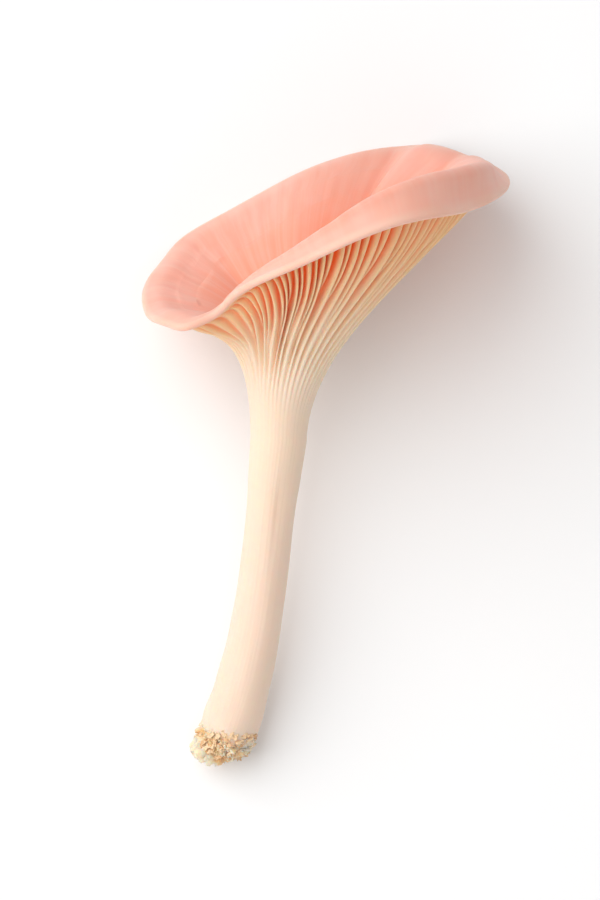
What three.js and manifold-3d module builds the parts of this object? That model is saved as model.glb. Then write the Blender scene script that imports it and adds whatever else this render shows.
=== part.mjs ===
// A pink oyster mushroom as picked: a long bent stem with a torn foot, and a tilted funnel cap whose near
// lip rolls over. The gills run down from the cap's margin onto the neck of the stem. It grew as one piece.
//
// It is described standing, with x to the right, y away from the viewer and z up, and is then laid on its
// back, where it rests on the foot and on two lobes of the cap's far margin. Lengths are millimetres.

import * as THREE from 'three';
import { mergeVertices } from 'three/addons/utils/BufferGeometryUtils.js';
import Module from 'manifold-3d';

// Stem line from the torn foot to the neck: x, z and radius
const STEM = [
  [0.9, 2.8, 4.8], [1.9, 6.2, 5.6], [4.2, 13.4, 5.4], [6.6, 23.6, 5.0], [8.4, 35.4, 4.75], [9.9, 48.4, 4.8],
  [11.4, 62.0, 5.5],
];

// Cap margin at uneven angles, from the right round by the back, closest together at the notch where the
// near lip starts. The margin's reach is measured from the cap's upright middle line, and its height from
// the foot. The gills turn up at a fold, which lies inwards of the margin and above or below it, and from
// there they arch over to the margin by the curl's length.
const CAP_MIDDLE_X = 15.6;
const MARGIN = [
  ['angle', 'reach', 'height', 'foldIn', 'foldUp', 'foldSlope', 'edgeSlope', 'curl'],
  [0, 39.7, 111.2, 7, -4.7, 44, -35, 7.1],
  [14, 40.9, 113.9, 7.5, -4.7, 42, -18, 5.8],
  [28, 40.9, 116.8, 7.2, -4.9, 31, -17, 4.8],
  [42, 36.2, 120.3, 7, -5.5, 40, -4, 4],
  [60, 34.4, 120.6, 6.6, -6.1, 41, 10, 3.2],
  [90, 28.7, 115.1, 6.6, -6.2, 42, 15, 3.2],
  [120, 31.3, 106.3, 6.6, -5.3, 37, 6, 3.2],
  [150, 32.6, 95, 6.3, -3.3, 25, -10, 3.2],
  [180, 29.3, 86.5, 6, -1.7, 17, -25, 3.2],
  [204, 27.5, 83.8, 5.3, -0.6, 15, -33, 2.8],
  [219, 26.9, 82.9, 4.4, -0.5, 13, -35, 2.2],
  [229, 23.5, 85.4, 2.6, -1, 42, -24, 2],
  [243, 25.1, 89, 3.2, -1.3, 50, -12, 2.8],
  [270, 30.1, 94.1, 4.1, -1, 54, -29, 4.8],
  [300, 36, 102, 5.4, -1.7, 60, -57, 8.4],
  [330, 36.8, 106.1, 5.8, -2.8, 57, -86, 9.8],
];
// The margin also reaches out in two lobes on the far side
const LOBES = [
  { angle: 52, halfWidth: 10, reach: 4.4 },
  { angle: 130, halfWidth: 11, reach: 2.8 },
];
const NOTCH_ANGLE = 225;
const NOTCH_WIDTH = 10;

// The gill side runs from the neck at 0 over the fold to the margin at 1, and the spans below are on that
// scale. It rises by the flare's rise before it turns out, and the fold's slope reaches back by a share.
const FLARE_RISE = 18.9;
const FLARE_LEAN = 0.01;
const FOLD_REACH = 0.28;
const FOLD_AT = 0.7;

// Flesh and gills together: at the margin, and what they gain under the lip, towards the neck and in the
// right lobe
const MARGIN_THICKNESS = 1.4;
const LIP_GAIN = { thickness: 1.9, from: 0.72, to: 1 };
const NECK_GAIN = { thickness: 1.3, from: 0.35, to: 0.8 };
const LOBE_GAIN = {
  thickness: 3.2, angle: 8, halfWidth: 24, fills: { from: 0.5, to: 0.8 }, ends: { from: 0.8, to: 1 },
};
const EDGE_ROUNDNESS = 0.75;

// Gills: how many reach the neck, with one short gill between each two, and how deep the valleys are
const GILLS = 48;
const RIB_DEPTH = 0.15;
const GILL_DEPTH = 2.1;
const GILLS_DEEPEN = { from: 0.06, to: 0.5 };
const GILLS_END = { from: 0.72, to: 1, share: 0.92 };
const SHORT_GILLS = { from: 0.42, spread: 0.1, length: 0.3, share: 0.85 };
const GILL_UNEVENNESS = 0.18;
const NOTCH_SHALLOWNESS = 0.6;

// Ribs on the upper stem and the ragged skin above the foot, on a scale from foot to neck
const RIBS = { from: 0.72, to: 1 };
const RAGGED_TO = 0.16;

// Bottom of the funnel, where its floor leaves the wall, and how long it follows the wall and the bottom
const FUNNEL_BOTTOM = [15.5, 1, 80.5];
const FLOOR_START = 0.6;
const FLOOR_FOLLOWS = { wall: 0.35, bottom: 0.1 };

// Torn foot: depth of its rounded end, how uneven it is, and the flakes that stand off it, with their
// length, width, thickness, tilt outwards in degrees, and the heights that they grow from
const FOOT_DEPTH = 2.3;
const FOOT_UNEVENNESS = 0.45;
const FLAKES = 30;
const FLAKE_LENGTH = [3.0, 5.4];
const FLAKE_WIDTH = [1.2, 2.8];
const FLAKE_THICKNESS = 0.8;
const FLAKE_TILT = [8, 50];
const FLAKE_HEIGHT = [2.2, 9.5];
const FLAKE_TAPER = 0.65;
const FLAKE_SEED = 71;

// Lying down: pitch of the stem, roll to the right, and the point that comes to rest at the origin
const LIE_PITCH = 12.58;
const LIE_ROLL = 0.7;
const REST_POINT = [20.8, 61.62, -4.56];

const COLOUR = 0xfbc9ae;

const radians = THREE.MathUtils.degToRad;
const smooth = (x, { from, to }) => THREE.MathUtils.smoothstep(x, from, to);

// Bezier curve through four vectors
function bezier(a, b, c, d, t) {
  const q = 1 - t;
  return new THREE.Vector3()
    .addScaledVector(a, q * q * q)
    .addScaledVector(b, 3 * q * q * t)
    .addScaledVector(c, 3 * q * t * t)
    .addScaledVector(d, t * t * t);
}

const degreesOf = (angle) => THREE.MathUtils.euclideanModulo(THREE.MathUtils.radToDeg(angle), 360);

// One measure of the margin at an angle, read along a smooth closed curve through the stations
function marginAt(measure, angle) {
  const column = MARGIN[0].indexOf(measure);
  const stations = MARGIN.slice(1);
  const count = stations.length;
  const degrees = degreesOf(angle);
  const base = stations.findLastIndex((station) => station[0] <= degrees);
  const near = [-1, 0, 1, 2].map((step) => {
    const turns = Math.floor((base + step) / count);
    const station = stations[base + step - turns * count];
    return [station[0] + 360 * turns, station[column]];
  });
  const [[from0, a], [from, b], [to, c], [to1, d]] = near;
  const length = to - from;
  const leaving = ((c - a) / (to - from0)) * length;
  const coming = ((d - b) / (to1 - from)) * length;
  const t = (degrees - from) / length;
  const eased = t * t * (3 - 2 * t);
  return b * (1 - eased) + c * eased + leaving * t * (1 - t) ** 2 - coming * t * t * (1 - t);
}

// How far the lobes move the margin at an angle
function lobesAt(angle) {
  return LOBES.reduce((sum, lobe) => {
    return sum + lobe.reach * Math.exp(-(((degreesOf(angle) - lobe.angle) / lobe.halfWidth) ** 2));
  }, 0);
}

const stemCurve = new THREE.CatmullRomCurve3(
  STEM.map(([x, z, radius]) => new THREE.Vector3(x, radius, z)), false, 'catmullrom',
);

// Point of the stem's skin, on a ring square to the stem's line
function stemSkin(angle, t, inset = 0) {
  const { x, y: radius, z } = stemCurve.getPoint(t);
  const along = stemCurve.getTangent(t).setY(0).normalize();
  const out = (radius - inset) * Math.cos(angle);
  return new THREE.Vector3(x + out * along.z, (radius - inset) * Math.sin(angle), z - out * along.x);
}

// Point of the gills' edges, from the neck at s = 0 over the fold to the margin at s = 1
function gillEdge(angle, s) {
  const outward = new THREE.Vector3(Math.cos(angle), Math.sin(angle), 0);
  const up = new THREE.Vector3(0, 0, 1);
  const heading = (slope) => {
    return outward.clone().multiplyScalar(Math.cos(slope)).addScaledVector(up, Math.sin(slope));
  };

  const neck = stemSkin(angle, 1);
  const rim = outward.clone().multiplyScalar(marginAt('reach', angle) + lobesAt(angle));
  rim.add(new THREE.Vector3(CAP_MIDDLE_X, 0, marginAt('height', angle)));
  const fold = rim.clone().addScaledVector(outward, -marginAt('foldIn', angle));
  fold.addScaledVector(up, marginAt('foldUp', angle));
  const foldHeading = heading(radians(marginAt('foldSlope', angle)));

  if (s < FOLD_AT) {
    const lean = FLARE_LEAN * (1 + outward.x);
    const start = neck.clone().add(new THREE.Vector3(lean, 0, 1).multiplyScalar(FLARE_RISE - outward.x));
    const end = fold.clone().addScaledVector(foldHeading, -FOLD_REACH * fold.distanceTo(neck));
    return bezier(neck, start, end, fold, s / FOLD_AT);
  }
  const curl = marginAt('curl', angle);
  const start = fold.clone().addScaledVector(foldHeading, curl);
  const end = rim.clone().addScaledVector(heading(radians(marginAt('edgeSlope', angle))), -curl);
  return bezier(fold, start, end, rim, (s - FOLD_AT) / (1 - FOLD_AT));
}

// Direction out of the gill side
function gillNormal(angle, s) {
  const step = 1e-3;
  const along = gillEdge(angle, s + step).sub(gillEdge(angle, s - step));
  const round = gillEdge(angle + step, s).sub(gillEdge(angle - step, s));
  return round.cross(along).normalize();
}

// Thickness of flesh and gills together
function thickness(angle, s) {
  const gain = (part) => part.thickness * (1 - smooth(s, part));
  const { thickness: lobe, angle: middle, halfWidth, fills, ends } = LOBE_GAIN;
  const offLobe = THREE.MathUtils.euclideanModulo(degreesOf(angle) - middle + 180, 360) - 180;
  const lobeGain = lobe * Math.exp(-((offLobe / halfWidth) ** 2)) * smooth(s, fills) * (1 - smooth(s, ends));
  return MARGIN_THICKNESS + gain(LIP_GAIN) + gain(NECK_GAIN) + lobeGain;
}

// Point of the cap's smooth upper skin, opposite the gills
function upperSkin(angle, s) {
  return gillEdge(angle, s).addScaledVector(gillNormal(angle, s), -thickness(angle, s));
}

// Point of the margin's round edge, from the gill side at q = 0 to the upper skin at q = 1
function marginEdge(angle, q) {
  const below = gillEdge(angle, 1);
  const above = upperSkin(angle, 1);
  const outward = below.clone().sub(gillEdge(angle, 0.99)).setLength(MARGIN_THICKNESS * EDGE_ROUNDNESS);
  return bezier(below, below.clone().add(outward), above.clone().add(outward), above, q);
}

// Point of the funnel's floor, from the wall at q = 0 to the bottom at q = 1
function funnelFloor(angle, q) {
  const wall = upperSkin(angle, FLOOR_START);
  const down = upperSkin(angle, FLOOR_START - 0.01).sub(wall).normalize();
  const bottom = new THREE.Vector3(...FUNNEL_BOTTOM);
  const span = wall.distanceTo(bottom);
  const outward = new THREE.Vector3(Math.cos(angle), Math.sin(angle), 0);
  const start = wall.clone().addScaledVector(down, span * FLOOR_FOLLOWS.wall);
  const end = bottom.clone().addScaledVector(outward, span * FLOOR_FOLLOWS.bottom);
  return bezier(wall, start, end, bottom, q);
}

// How deep the valley beside a gill is
function gillDepth(s) {
  const full = RIB_DEPTH + (GILL_DEPTH - RIB_DEPTH) * smooth(s, GILLS_DEEPEN);
  return full * (1 - GILLS_END.share * smooth(s, GILLS_END));
}

// How far a column stands below the gills' edges. Of the four columns of a gill, the first is its edge, the
// third is the short gill, which rises out of the valley, and the others are valleys.
function gillDrop(quarter, s) {
  if (quarter % 4 === 0) return 0;
  const gill = Math.floor(quarter / 4);
  const offNotch = (quarter / (4 * GILLS)) * 360 - NOTCH_ANGLE;
  const shallow = 1 - NOTCH_SHALLOWNESS * Math.exp(-((offNotch / (2 * NOTCH_WIDTH)) ** 2));
  const uneven = 1 + GILL_UNEVENNESS * Math.sin(gill * 2.4) * Math.sin(gill * 0.7 + 1);
  const depth = gillDepth(s) * shallow * uneven;
  if (quarter % 4 !== 2) return depth;
  const from = SHORT_GILLS.from + SHORT_GILLS.spread * Math.sin(gill * 1.9);
  return depth * (1 - SHORT_GILLS.share * smooth(s, { from, to: from + SHORT_GILLS.length }));
}

const ring = (count, pointAt) => Array.from({ length: count }, (_, column) => pointAt(column));
const turn = (column, count) => (column / count) * 2 * Math.PI;
const evenly = (from, to, count) => ring(count, (step) => from + ((to - from) * step) / (count - 1));

// Ring of the gill side: two columns a gill near the neck, and four where the short gills stand
function gillRing(columnsPerGill, s) {
  const count = GILLS * columnsPerGill;
  return ring(count, (column) => {
    const angle = turn(column, count);
    const drop = gillDrop(column * (4 / columnsPerGill), s);
    return gillEdge(angle, s).addScaledVector(gillNormal(angle, s), -drop);
  });
}

// Waves of the torn foot's skin
function raggedness(angle, level) {
  return FOOT_UNEVENNESS * (Math.sin(3 * angle + 1 + level) + 0.8 * Math.sin(7 * angle + 2.2 - 2 * level));
}

// Ring of the stem, with ribs that run on from the gills and fade out downwards
function stemRing(count, t) {
  const ribs = RIB_DEPTH * smooth(t, RIBS);
  const ragged = 1 - smooth(t, { from: 0, to: RAGGED_TO });
  return ring(count, (column) => {
    const angle = turn(column, count);
    const rib = count === 2 * GILLS && column % 2 === 1 ? ribs : 0;
    return stemSkin(angle, t, rib + ragged * raggedness(angle, 0));
  });
}

// Ring of the foot's rounded end, from its rim at q = 0 towards its lowest point at q = 1
function footRing(q) {
  const [x, z, radius] = STEM[0];
  const slope = q * Math.PI / 2;
  return ring(GILLS, (column) => {
    const angle = turn(column, GILLS);
    const reach = (radius - raggedness(angle, 0)) * Math.cos(slope);
    const drop = (FOOT_DEPTH + raggedness(angle, 3) * Math.cos(slope)) * Math.sin(slope);
    return new THREE.Vector3(x + reach * Math.cos(angle), reach * Math.sin(angle), z - drop);
  });
}

// Triangles between two neighbouring rings, where one may have twice the other's points
function stitch(index, lower, upper) {
  const [a, b] = [lower.length, upper.length];
  const fewer = Math.min(a, b);
  for (let k = 0; k < fewer; k++) {
    const next = (k + 1) % fewer;
    if (a === b) {
      index.push(lower[k], lower[next], upper[next], lower[k], upper[next], upper[k]);
    } else if (b > a) {
      const [first, middle, last] = [upper[2 * k], upper[2 * k + 1], upper[2 * next]];
      index.push(lower[k], middle, first, lower[k], lower[next], middle, lower[next], last, middle);
    } else {
      const [first, middle, last] = [lower[2 * k], lower[2 * k + 1], lower[2 * next]];
      index.push(first, middle, upper[k], middle, upper[next], upper[k], middle, last, upper[next]);
    }
  }
}

// Closed skin over a stack of rings, with a point at each end
function skinOver(rings, firstPoint, lastPoint) {
  const positions = [];
  const index = [];
  const add = (point) => positions.push(point.x, point.y, point.z) / 3 - 1;
  const first = add(firstPoint);
  const numbered = rings.map((points) => points.map(add));
  const last = add(lastPoint);
  numbered.slice(1).forEach((upper, k) => stitch(index, numbered[k], upper));
  const [bottom, top] = [numbered[0], numbered.at(-1)];
  bottom.forEach((point, k) => index.push(first, bottom[(k + 1) % bottom.length], point));
  top.forEach((point, k) => index.push(last, point, top[(k + 1) % top.length]));
  const geometry = new THREE.BufferGeometry();
  geometry.setAttribute('position', new THREE.Float32BufferAttribute(positions, 3));
  geometry.setIndex(index);
  return geometry;
}

// The whole mushroom but for the flakes at its foot
function body() {
  const around = (count, skin, at) => ring(count, (column) => skin(turn(column, count), at));
  const rings = [
    ...evenly(0.8, 0.27, 3).map(footRing),
    ...evenly(0, 0.7, 10).map((t) => stemRing(GILLS, t)),
    ...evenly(0.77, 0.94, 3).map((t) => stemRing(2 * GILLS, t)),
    ...evenly(0, 0.38, 6).map((s) => gillRing(2, s)),
    ...evenly(0.46, 0.98, 8).map((s) => gillRing(4, s)),
    ...evenly(0, 1, 4).map((q) => around(2 * GILLS, marginEdge, q)),
    ...evenly(0.93, FLOOR_START, 6).map((s) => around(2 * GILLS, upperSkin, s)),
    ...evenly(0.2, 0.84, 4).map((q) => around(GILLS, funnelFloor, q)),
  ];
  const lowest = new THREE.Vector3(STEM[0][0], 0, STEM[0][1] - FOOT_DEPTH);
  return skinOver(rings, lowest, new THREE.Vector3(...FUNNEL_BOTTOM));
}

// One torn flake: a tapered, bent blade with its root sunk in the foot
function tornFlake(random) {
  const between = ([low, high], share = random()) => low + (high - low) * share;
  const length = between(FLAKE_LENGTH);
  const bend = between([-0.9, 1.6]);
  const geometry = new THREE.BoxGeometry(between(FLAKE_WIDTH), FLAKE_THICKNESS, length, 1, 1, 2);
  const position = geometry.getAttribute('position');
  for (let k = 0; k < position.count; k++) {
    const along = 0.5 - position.getZ(k) / length;
    const taper = 1 - FLAKE_TAPER * along * along;
    const side = position.getY(k) * (1 - 0.5 * FLAKE_TAPER * along);
    position.setXYZ(k, position.getX(k) * taper, side + bend * along * along, -along * length);
  }
  const lift = random();
  const [x, , radius] = STEM[0];
  geometry.rotateZ(between([-0.5, 0.5]));
  geometry.rotateX(radians(between(FLAKE_TILT)));
  geometry.translate(0, radius * (0.45 + 0.4 * Math.sqrt(lift)), between(FLAKE_HEIGHT, lift * lift));
  geometry.rotateZ(random() * 2 * Math.PI);
  geometry.translate(x, 0, 0);
  return geometry;
}

const wasm = await Module();
wasm.setup();

// Solid of a closed geometry
function solid(geometry) {
  const bare = geometry.clone();
  bare.deleteAttribute('normal');
  bare.deleteAttribute('uv');
  const merged = mergeVertices(bare, 1e-4);
  const vertProperties = new Float32Array(merged.getAttribute('position').array);
  const triVerts = new Uint32Array(merged.getIndex().array);
  return new wasm.Manifold(new wasm.Mesh({ numProp: 3, vertProperties, triVerts }));
}

// Geometry of a solid
function geometryOf(manifold) {
  const { vertProperties, triVerts } = manifold.getMesh();
  const geometry = new THREE.BufferGeometry();
  geometry.setAttribute('position', new THREE.BufferAttribute(vertProperties, 3));
  geometry.setIndex(new THREE.BufferAttribute(triVerts, 1));
  return geometry;
}

// The mushroom laid on its back, pressed flat where it touches the surface
function laidDown(standing) {
  standing.rotateX(-radians(90 - LIE_PITCH));
  standing.rotateY(radians(LIE_ROLL));
  standing.translate(...REST_POINT.map((value) => -value));
  const below = new THREE.BoxGeometry(400, 400, 100);
  below.translate(0, 0, -50);
  return geometryOf(solid(standing).subtract(solid(below)));
}

THREE.MathUtils.seededRandom(FLAKE_SEED);
const flakes = Array.from({ length: FLAKES }, () => solid(tornFlake(THREE.MathUtils.seededRandom)));
const whole = flakes.reduce((grown, flake) => grown.add(flake), solid(body()));
const geometry = laidDown(geometryOf(whole));
geometry.computeVertexNormals();

const mushroom = new THREE.Mesh(
  geometry,
  new THREE.MeshStandardMaterial({ color: COLOUR, roughness: 0.62, metalness: 0 }),
);
mushroom.name = 'mushroom';

const model = new THREE.Group();
model.add(mushroom);

export default model;
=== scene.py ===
"""A pink oyster mushroom as picked, laid on its back on a pale floor.

The skin is one closed sheet. Its columns run round the mushroom, one for each gill, long or short, and its
rows run from the torn foot up the stem, out along the gills, over the margin and down the wall of the funnel.
The form is described standing, in millimetres, with x to the right, y away from the viewer and z up, and is
then laid down.
"""

import logging
import math
import random
from dataclasses import dataclass
from enum import Enum

import bmesh
import bpy
import numpy as np
from mathutils import Matrix, Vector, noise


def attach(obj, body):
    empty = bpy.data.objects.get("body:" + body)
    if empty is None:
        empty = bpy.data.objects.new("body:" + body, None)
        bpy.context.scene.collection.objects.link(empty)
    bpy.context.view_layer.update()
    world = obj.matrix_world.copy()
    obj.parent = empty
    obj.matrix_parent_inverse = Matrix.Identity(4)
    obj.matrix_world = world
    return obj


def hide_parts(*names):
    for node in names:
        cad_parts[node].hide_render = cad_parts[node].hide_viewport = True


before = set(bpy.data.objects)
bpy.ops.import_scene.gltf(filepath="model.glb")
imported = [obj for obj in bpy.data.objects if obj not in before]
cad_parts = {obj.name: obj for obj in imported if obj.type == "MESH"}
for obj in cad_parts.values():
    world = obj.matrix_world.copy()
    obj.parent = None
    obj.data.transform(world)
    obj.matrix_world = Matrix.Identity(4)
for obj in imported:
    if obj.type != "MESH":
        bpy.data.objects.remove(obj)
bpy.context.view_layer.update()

MM = 0.001
MERGED_WITHIN = 1e-6
ROOT = "root"
NODE = "mushroom"

FLOAT = "NodeSocketFloat"
VECTOR = "NodeSocketVector"
MIX_INPUTS = (0, 6, 7)
MIX_OUTPUT = 2

Array = np.ndarray
Colour = tuple[float, float, float]
Triple = tuple[float, float, float]
Pair = tuple[float, float]
Object = bpy.types.Object
Material = bpy.types.Material
Tree = bpy.types.NodeTree
Node = bpy.types.Node
Socket = bpy.types.NodeSocket
Mesh = bmesh.types.BMesh
Layer = bmesh.types.BMLayerItem

log = logging.getLogger("mushroom")


class Attribute(Enum):
    """What the skin remembers of its growth, for its finish to read."""

    GROWTH = "growth"
    GILL = "gill_height"
    OUTWARD = "toward_margin"
    DEEP = "funnel_depth"
    TORN = "torn"
    BRUISE = "bruise"
    TINT = "tint"


class Part(Enum):
    """Stretches of the skin, from the foot to the bottom of the funnel."""

    FOOT = "foot"
    STEM = "stem"
    GILLS = "gills"
    EDGE = "edge"
    UPPER = "upper"
    FLOOR = "floor"


@dataclass(frozen=True)
class Span:
    """A stretch over which something fades in."""

    start: float
    end: float

    def rise(self, place: Array) -> Array:
        """Smooth step from 0 at the start to 1 at the end.

        Args:
            place: Places along the stretch.

        Returns:
            The share at each place.
        """
        share = np.clip((place - self.start) / (self.end - self.start), 0.0, 1.0)
        return share * share * (3.0 - 2.0 * share)


@dataclass(frozen=True)
class Place:
    """A place on a scale, and how far its effect reaches."""

    middle: float
    half_width: float

    def near(self, value: Array) -> Array:
        """How near each value is to the place, 1 at its middle."""
        return np.exp(-(((value - self.middle) / self.half_width) ** 2))

    def near_angle(self, degrees: Array) -> Array:
        """How near each angle in degrees is to the place, taken the short way round."""
        return self.near((degrees - self.middle + 180) % 360 - 180 + self.middle)


@dataclass(frozen=True)
class Ripple:
    """Smooth noise that follows the growth and closes round the mushroom.

    About `around` ripples lie on a radian. The stretch is how fast the noise changes along the growth, and
    the seed shifts the pattern.
    """

    depth: float
    around: float
    stretch: float
    seed: float = 0.0

    def at(self, angle: Array, along: Array) -> Array:
        """Reads the noise.

        Args:
            angle: Angles round the mushroom.
            along: Places along the growth.

        Returns:
            Values from about minus the depth to the depth.
        """
        across, away = np.cos(angle) * self.around, np.sin(angle) * self.around
        points = np.stack([across, away, along * self.stretch + self.seed], axis=1)
        return self.depth * np.array([noise.noise(Vector(point)) for point in points])


@dataclass(frozen=True)
class StemStation:
    """A place on the stem's line, and the stem's radius there."""

    x: float
    z: float
    radius: float


@dataclass(frozen=True)
class MarginStation:
    """The cap's margin at one angle, and the fold where the gills turn up before it.

    The margin's reach is measured from the cap's upright middle line. The fold lies inwards of the margin and
    below it, and the gills arch over from the fold to the margin by the curl's length.
    """

    angle: float
    reach: float
    height: float
    fold_in: float
    fold_up: float
    fold_slope: float
    edge_slope: float
    curl: float


@dataclass(frozen=True)
class Lobe:
    """A place round the margin, in degrees, where it reaches further out."""

    at: Place
    reach: float


def catmull_rom(stations: Array, place: Array) -> tuple[Array, Array]:
    """Smooth open curve through stations.

    Args:
        stations: One row of values for each station.
        place: Places along the curve, counted in stations.

    Returns:
        The values at each place, and their slope per station.
    """
    before = 2 * stations[0] - stations[1]
    after = 2 * stations[-1] - stations[-2]
    padded = np.vstack([before, stations, after])
    base = np.clip(np.floor(place).astype(int), 0, len(stations) - 2)
    a, b, c, d = (padded[base + step] for step in (0, 1, 2, 3))
    t = (place - base)[:, None]
    square = 2 * a - 5 * b + 4 * c - d
    cube = 3 * b - a - 3 * c + d
    value = 0.5 * (2 * b + (c - a) * t + square * t**2 + cube * t**3)
    slope = 0.5 * ((c - a) + 2 * square * t + 3 * cube * t**2)
    return value, slope


def smooth_round(knots: Array, rows: Array, place: Array) -> Array:
    """Smooth closed curve through rows of values at uneven angles.

    Args:
        knots: The angle of each row, in degrees, from 0 upward.
        rows: The values at each of those angles.
        place: Angles at which to read the curve, from 0 to 360.

    Returns:
        The values at each place.
    """
    count = len(knots)
    base = np.clip(np.searchsorted(knots, place, side="right") - 1, 0, count - 1)
    at = [knots[(base + step) % count] + 360.0 * ((base + step) // count) for step in (-1, 0, 1, 2)]
    values = [rows[(base + step) % count] for step in (-1, 0, 1, 2)]
    length = (at[2] - at[1])[:, None]
    leaving = (values[2] - values[0]) / (at[2] - at[0])[:, None] * length
    coming = (values[3] - values[1]) / (at[3] - at[1])[:, None] * length
    t = (place - at[1])[:, None] / length
    eased = t * t * (3 - 2 * t)
    turns = leaving * t * (1 - t) ** 2 - coming * t * t * (1 - t)
    return values[1] * (1 - eased) + values[2] * eased + turns


def bezier(a: Array, b: Array, c: Array, d: Array, t: Array) -> Array:
    """Bezier curves through four rows of points each.

    Args:
        a: Starts.
        b: Handles of the starts.
        c: Handles of the ends.
        d: Ends.
        t: Place along each curve, from 0 to 1.

    Returns:
        One point for each curve.
    """
    t = t[:, None]
    q = 1 - t
    return a * q**3 + b * (3 * q**2 * t) + c * (3 * q * t**2) + d * t**3


def unit(rows: Array) -> Array:
    """Rows of vectors, each brought to length 1."""
    return rows / np.maximum(np.linalg.norm(rows, axis=1, keepdims=True), 1e-9)


def vary(number: Array, pace: float, phase: float = 0.0) -> Array:
    """Value from -1 to 1 that changes unevenly from one gill to the next."""
    return np.sin(number * pace + phase)


@dataclass(frozen=True)
class MushroomForm:
    """The mushroom's form, standing, in millimetres."""

    stem: tuple[StemStation, ...] = (
        StemStation(0.9, 2.8, 4.8),
        StemStation(1.9, 6.2, 5.6),
        StemStation(4.2, 13.4, 5.4),
        StemStation(6.6, 23.6, 5.0),
        StemStation(8.4, 35.4, 4.75),
        StemStation(9.9, 48.4, 4.8),
        StemStation(11.4, 62.0, 5.5),
    )
    cap_middle_x: float = 15.6
    margin: tuple[MarginStation, ...] = (
        MarginStation(0, 39.7, 111.2, 7.0, -4.7, 44, -35, 7.1),
        MarginStation(14, 40.9, 113.9, 7.5, -4.7, 42, -18, 5.8),
        MarginStation(28, 40.9, 116.8, 7.2, -4.9, 31, -17, 4.8),
        MarginStation(42, 36.2, 120.3, 7.0, -5.5, 40, -4, 4.0),
        MarginStation(60, 34.4, 120.6, 6.6, -6.1, 41, 10, 3.2),
        MarginStation(90, 28.7, 115.1, 6.6, -6.2, 42, 15, 3.2),
        MarginStation(120, 31.3, 106.3, 6.6, -5.3, 37, 6, 3.2),
        MarginStation(150, 32.6, 95.0, 6.3, -3.3, 25, -10, 3.2),
        MarginStation(180, 29.3, 86.5, 6.0, -1.7, 17, -25, 3.2),
        MarginStation(204, 27.5, 83.8, 5.3, -0.6, 15, -33, 2.8),
        MarginStation(219, 26.9, 82.9, 4.4, -0.5, 13, -35, 2.2),
        MarginStation(229, 23.5, 85.4, 2.6, -1.0, 42, -24, 2.0),
        MarginStation(243, 25.1, 89.0, 3.2, -1.3, 50, -12, 2.8),
        MarginStation(270, 30.1, 94.1, 4.1, -1.0, 54, -29, 4.8),
        MarginStation(300, 36.0, 102.0, 5.4, -1.7, 60, -57, 8.4),
        MarginStation(330, 36.8, 106.1, 5.8, -2.8, 57, -86, 9.8),
    )
    lobes: tuple[Lobe, ...] = (Lobe(Place(52, 10), 4.4), Lobe(Place(130, 11), 2.8))

    flare_rise: float = 18.9
    flare_lean: float = 0.01
    fold_reach: float = 0.28
    fold_at: float = 0.7

    margin_thickness: float = 1.4
    lip_gain: float = 1.9
    lip_gain_span: Span = Span(0.72, 1.0)
    neck_gain: float = 1.3
    neck_gain_span: Span = Span(0.35, 0.8)
    lobe_gain: float = 3.2
    lobe_gain_at: Place = Place(8.0, 24.0)
    lobe_fills: Span = Span(0.5, 0.8)
    lobe_ends: Span = Span(0.8, 1.0)
    edge_roundness: float = 0.75
    look_back: float = 0.01

    funnel_bottom: Triple = (15.5, 1.0, 80.5)
    floor_start: float = 0.6
    floor_follows_wall: float = 0.35
    floor_follows_bottom: float = 0.1
    foot_depth: float = 2.3
    foot_unevenness: float = 0.45
    foot_ends: Span = Span(0.0, 0.16)

    lie_pitch: float = 12.58
    lie_roll: float = 0.7
    rest_point: Triple = (20.8, 61.62, -4.56)
    softness: float = 0.06
    tuck: float = 2.0

    def turned(self) -> Matrix:
        """Turns the picture's axes, right, up and toward the viewer, to where the mushroom lies."""
        roll = Matrix.Rotation(math.radians(self.lie_roll), 3, "Y")
        return roll @ Matrix.Rotation(math.radians(self.lie_pitch), 3, "X")

    def laid_down(self, standing: Array) -> Array:
        """Lays points of the standing mushroom on its back, pressed flat where they meet the floor.

        Args:
            standing: Points in millimetres.

        Returns:
            Points in the frame, in metres.
        """
        picture = standing[:, [0, 2, 1]] * (1, 1, -1)
        lying = picture @ np.array(self.turned()).T - self.rest_point
        lying[:, 1] -= np.sign(lying[:, 1]) * self.tuck * np.maximum(-lying[:, 2], 0)
        lying[:, 2] = self.softness * np.logaddexp(0, lying[:, 2] / self.softness)
        return lying * MM

    def margin_at(self, angle: Array) -> Array:
        """The margin's measures at each angle, one row each, from reach to curl."""
        stations = np.array([list(vars(station).values()) for station in self.margin])
        return smooth_round(stations[:, 0], stations[:, 1:], np.degrees(angle) % 360)

    def lobes_at(self, angle: Array) -> Array:
        """How far the lobes move the margin out at each angle."""
        return sum(lobe.reach * lobe.at.near(np.degrees(angle) % 360) for lobe in self.lobes)

    def stem_skin(self, angle: Array, t: Array, inset: Array | float = 0.0) -> Array:
        """Points of the stem's skin, on rings square to the stem's line.

        Args:
            angle: Angles round the stem.
            t: Places along the stem, from the foot at 0 to the neck at 1.
            inset: How far the points lie below the skin.

        Returns:
            One point for each angle.
        """
        stations = np.array([(s.x, s.z, s.radius) for s in self.stem])
        place, slope = catmull_rom(stations, t * (len(stations) - 1))
        along = unit(slope[:, :2])
        radius = place[:, 2] - inset
        out = radius * np.cos(angle)
        x = place[:, 0] + out * along[:, 1]
        z = place[:, 1] - out * along[:, 0]
        return np.stack([x, radius * np.sin(angle), z], axis=1)

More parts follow.
